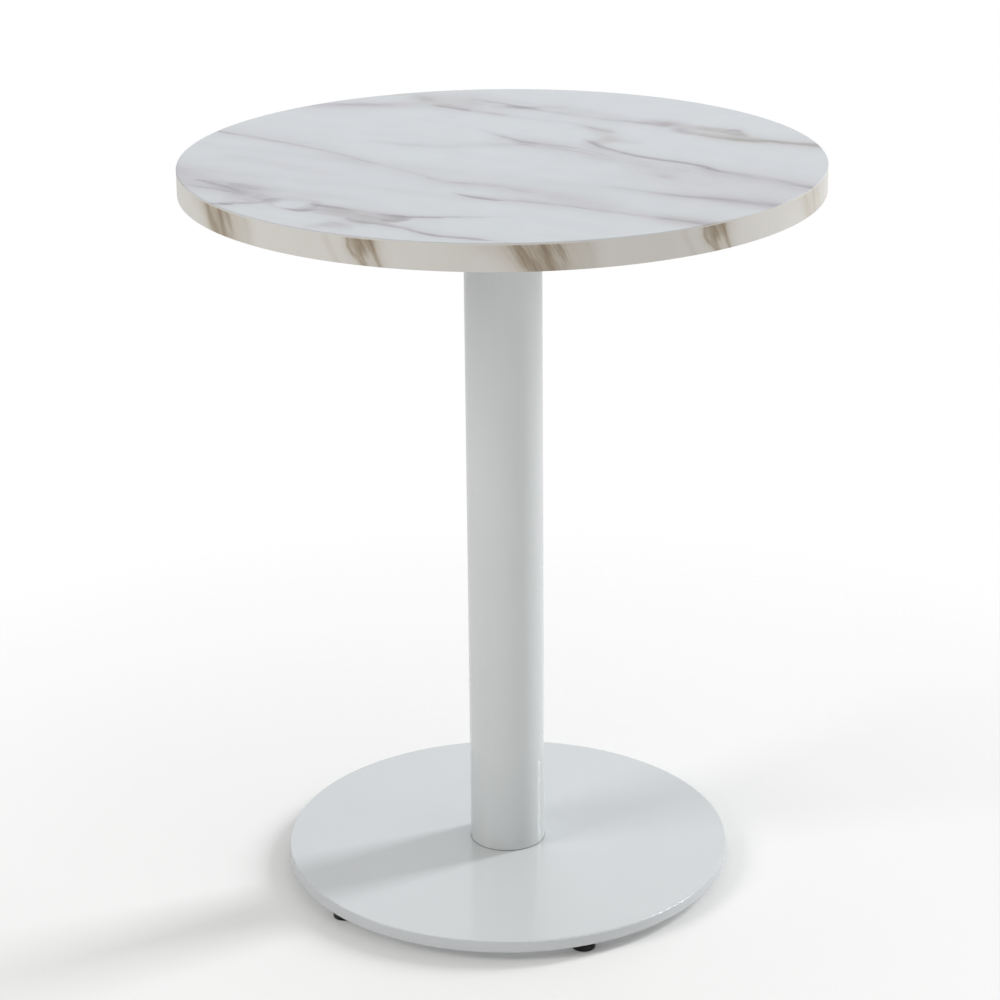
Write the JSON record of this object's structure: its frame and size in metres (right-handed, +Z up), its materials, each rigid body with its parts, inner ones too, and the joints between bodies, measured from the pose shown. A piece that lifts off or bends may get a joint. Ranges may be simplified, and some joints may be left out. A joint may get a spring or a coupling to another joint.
{
  "type": "bistro table",
  "caption": "Round pedestal table: marble-patterned top on a white steel column and a flat round steel base that stands on levelling feet.",
  "frame": {"origin": "on the floor, below the column's axis, with the levelling feet screwed in", "axes": "+Z up along the column, +X from the column towards the first foot"},
  "size_m": [0.5999, 0.6, 0.72],
  "materials": {
    "marble_laminate": "satin laminate, white marble pattern with grey and lilac veins",
    "marble_edging": "satin printed edging, warm white marble with olive-brown veins",
    "white_backing": "fine matt white laminate",
    "chipboard": "raw pressed chips",
    "white_steel": "white semi-gloss powder coat with a fine orange peel",
    "zinc_steel": "bright zinc plate",
    "black_nylon": "moulded black nylon, fine texture"
  },
  "bodies": {
    "table": {"top_laminate": "marble_laminate", "tabletop_board": "chipboard", "backing_sheet": "white_backing", "edge_band": "marble_edging", "threaded_inserts": "zinc_steel", "mounting_spider": "white_steel", "top_screw_washers": "zinc_steel", "top_screws": "zinc_steel", "column_tube": "white_steel", "column_lower_disc": "white_steel", "column_upper_disc": "white_steel", "upper_column_bolts": "zinc_steel", "lower_flat_washers": "zinc_steel", "lower_spring_washers": "zinc_steel", "lower_column_bolts": "zinc_steel", "base_plate": "white_steel"},
    "foot_1_pad": {"foot_1_pad": "black_nylon"},
    "foot_1_stud": {"foot_1_stud": "zinc_steel"},
    "foot_2_pad": {"foot_2_pad": "black_nylon"},
    "foot_2_stud": {"foot_2_stud": "zinc_steel"},
    "foot_3_pad": {"foot_3_pad": "black_nylon"},
    "foot_3_stud": {"foot_3_stud": "zinc_steel"},
    "foot_4_pad": {"foot_4_pad": "black_nylon"},
    "foot_4_stud": {"foot_4_stud": "zinc_steel"},
    "foot_5_pad": {"foot_5_pad": "black_nylon"},
    "foot_5_stud": {"foot_5_stud": "zinc_steel"}
  },
  "joints": [
    {"name": "foot_1_height", "type": "slide", "parent": "table", "child": "foot_1_pad", "axis": [0, 0, -1], "range_m": [0, 0.004]},
    {"name": "foot_1_turn", "type": "hinge", "parent": "foot_1_pad", "child": "foot_1_stud", "pos_m": [0.203, 0, 0.0021], "axis": [0, 0, -1], "range_deg": [0, 1152]},
    {"name": "foot_2_height", "type": "slide", "parent": "table", "child": "foot_2_pad", "axis": [0, 0, -1], "range_m": [0, 0.004]},
    {"name": "foot_2_turn", "type": "hinge", "parent": "foot_2_pad", "child": "foot_2_stud", "pos_m": [0.06273, 0.19306, 0.0021], "axis": [0, 0, -1], "range_deg": [0, 1152]},
    {"name": "foot_3_height", "type": "slide", "parent": "table", "child": "foot_3_pad", "axis": [0, 0, -1], "range_m": [0, 0.004]},
    {"name": "foot_3_turn", "type": "hinge", "parent": "foot_3_pad", "child": "foot_3_stud", "pos_m": [-0.16423, 0.11932, 0.0021], "axis": [0, 0, -1], "range_deg": [0, 1152]},
    {"name": "foot_4_height", "type": "slide", "parent": "table", "child": "foot_4_pad", "axis": [0, 0, -1], "range_m": [0, 0.004]},
    {"name": "foot_4_turn", "type": "hinge", "parent": "foot_4_pad", "child": "foot_4_stud", "pos_m": [-0.16423, -0.11932, 0.0021], "axis": [0, 0, -1], "range_deg": [0, 1152]},
    {"name": "foot_5_height", "type": "slide", "parent": "table", "child": "foot_5_pad", "axis": [0, 0, -1], "range_m": [0, 0.004]},
    {"name": "foot_5_turn", "type": "hinge", "parent": "foot_5_pad", "child": "foot_5_stud", "pos_m": [0.06273, -0.19306, 0.0021], "axis": [0, 0, -1], "range_deg": [0, 1152]}
  ],
  "couplings": [
    {"joint": "foot_1_turn", "follows": "foot_1_height", "rad_per_m": 5026.5},
    {"joint": "foot_2_turn", "follows": "foot_2_height", "rad_per_m": 5026.5},
    {"joint": "foot_3_turn", "follows": "foot_3_height", "rad_per_m": 5026.5},
    {"joint": "foot_4_turn", "follows": "foot_4_height", "rad_per_m": 5026.5},
    {"joint": "foot_5_turn", "follows": "foot_5_height", "rad_per_m": 5026.5}
  ]
}
